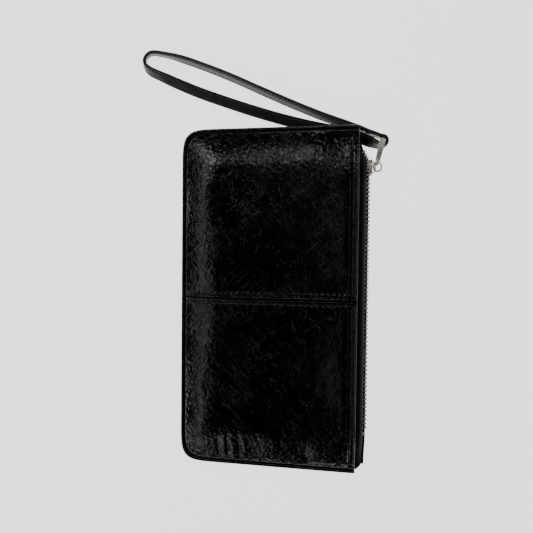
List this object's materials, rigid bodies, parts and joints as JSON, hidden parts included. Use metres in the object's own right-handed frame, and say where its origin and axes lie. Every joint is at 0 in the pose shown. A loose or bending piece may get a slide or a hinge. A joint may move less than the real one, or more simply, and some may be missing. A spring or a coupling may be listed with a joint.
{
  "type": "wristlet wallet",
  "caption": "Long leather wallet with a zip down one side, card and slip pockets, a divider, and a folded wrist strap that hangs from the zip's pull.",
  "frame": {"origin": "middle of the flat belly of the back panel, on the face the wallet lies on", "axes": "+Z out of the front panel, +Y along the wallet towards the zip's top end, +X towards the zipped mouth"},
  "size_m": [0.1459, 0.2448, 0.0162],
  "materials": {
    "leather": "glossy pull-up leather, crackled",
    "leather_edge": "waxed folded edge",
    "strap_leather": "satin, edges stitched",
    "pocket_leather": "fine matt grain",
    "stiffener": "pressed board",
    "lining": "fine woven cloth",
    "gusset_cloth": "fine woven cloth",
    "zip_tape": "herringbone woven tape",
    "zip_metal": "pale nickel, polished",
    "bail_metal": "pale nickel, polished and worn",
    "thread": "waxed thread"
  },
  "bodies": {
    "back": {"back_leather": "leather", "spine_binding": "leather_edge", "back_board": "stiffener", "back_lining": "lining", "card_tier_1": "pocket_leather", "card_tier_2": "pocket_leather", "card_tier_3": "pocket_leather", "card_tier_4": "pocket_leather", "back_zip_tape": "zip_tape", "back_zip_teeth": "zip_metal", "zip_bottom_stop": "zip_metal", "top_gusset": "gusset_cloth", "bottom_gusset": "gusset_cloth"},
    "front": {"front_upper_leather": "leather", "front_lower_leather": "leather", "front_board": "stiffener", "front_lining": "lining", "slip_pocket": "lining", "front_zip_tape": "zip_tape", "front_zip_teeth": "zip_metal", "mouth_stitching": "thread", "upper_seam_stitching": "thread", "lower_seam_stitching": "thread"},
    "divider": {"divider_panel": "lining"},
    "slider": {"slider_body": "zip_metal"},
    "ring": {"pull_ring": "zip_metal"},
    "bail": {"pull_bail": "bail_metal"},
    "strap": {"wrist_strap": "strap_leather", "strap_eye": "strap_leather", "strap_rivet": "bail_metal"}
  },
  "joints": [
    {"name": "mouth_open", "type": "hinge", "parent": "back", "child": "front", "pos_m": [-0.0465, 0, 0.008], "axis": [0, -1, 0], "range_deg": [0, 18], "deforming": ["front_zip_tape", "front_zip_teeth", "top_gusset", "bottom_gusset"]},
    {"name": "zipper_slide", "type": "slide", "parent": "back", "child": "slider", "axis": [0, -1, 0], "range_m": [0, 0.1423]},
    {"name": "divider_swing", "type": "hinge", "parent": "back", "child": "divider", "pos_m": [-0.0465, 0, 0.008], "axis": [0, -1, 0], "range_deg": [0, 9]},
    {"name": "ring_swing", "type": "hinge", "parent": "slider", "child": "ring", "pos_m": [0.0591, 0.0738, 0.008], "axis": [0, -1, 0], "range_deg": [0, 12], "deforming": ["wrist_strap", "strap_eye", "strap_rivet"]},
    {"name": "bail_level", "type": "hinge", "parent": "ring", "child": "bail", "pos_m": [0.0608, 0.07725, 0.00594], "axis": [0, -1, 0], "range_deg": [-12, 0]},
    {"name": "strap_swing", "type": "hinge", "parent": "bail", "child": "strap", "pos_m": [0.0633, 0.0888, 0.0052], "axis": [0, 0, -1], "range_deg": [0, 90]}
  ],
  "couplings": [
    {"joint": "zipper_slide", "follows": "mouth_open", "m_per_rad": 0.45295},
    {"joint": "divider_swing", "follows": "mouth_open", "ratio": 0.5},
    {"joint": "strap_swing", "follows": "mouth_open", "ratio": 5},
    {"joint": "bail_level", "follows": "ring_swing", "ratio": -1}
  ]
}
